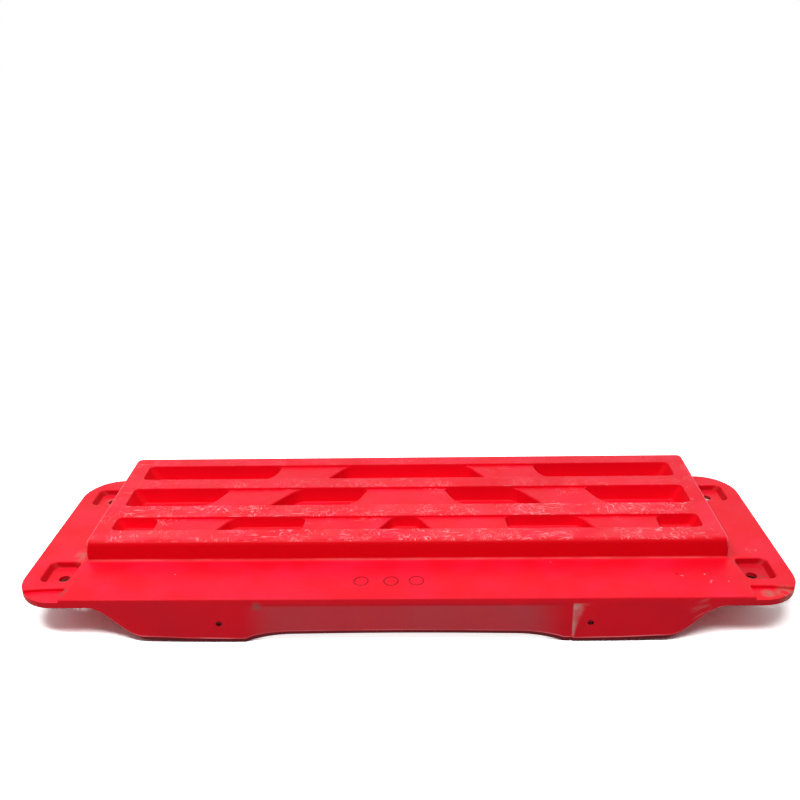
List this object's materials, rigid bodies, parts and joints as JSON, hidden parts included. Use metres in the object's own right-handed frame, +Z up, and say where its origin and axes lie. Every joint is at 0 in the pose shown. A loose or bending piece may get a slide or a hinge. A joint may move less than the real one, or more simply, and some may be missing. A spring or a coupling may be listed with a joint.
{
  "type": "moulded step board",
  "caption": "Low red moulded step board with a ribbed tread, a flat front apron, a drop skirt on feet and bolt-down end wings, stiffened by steel channels underneath.",
  "frame": {"origin": "on the floor, under the middle of the bounding box", "axes": "+X along the tread to the right as seen from the front, +Y from the skirt to the back, +Z up; the skirt faces -Y"},
  "size_m": [0.764, 0.256, 0.074],
  "materials": {
    "red_plastic": "satin moulded plastic, scuffed",
    "zinc_sheet": "zinc plated pressed sheet",
    "zinc_screw": "zinc plated, yellow passivated"
  },
  "bodies": {
    "root": {"step_moulding": "red_plastic", "rear_channel": "zinc_sheet", "front_channel": "zinc_sheet", "rear_screw_1": "zinc_screw", "rear_screw_2": "zinc_screw", "rear_screw_3": "zinc_screw", "rear_screw_4": "zinc_screw", "rear_screw_5": "zinc_screw", "front_screw_1": "zinc_screw", "front_screw_2": "zinc_screw", "front_screw_3": "zinc_screw", "front_screw_4": "zinc_screw", "front_screw_5": "zinc_screw"}
  },
  "joints": []
}
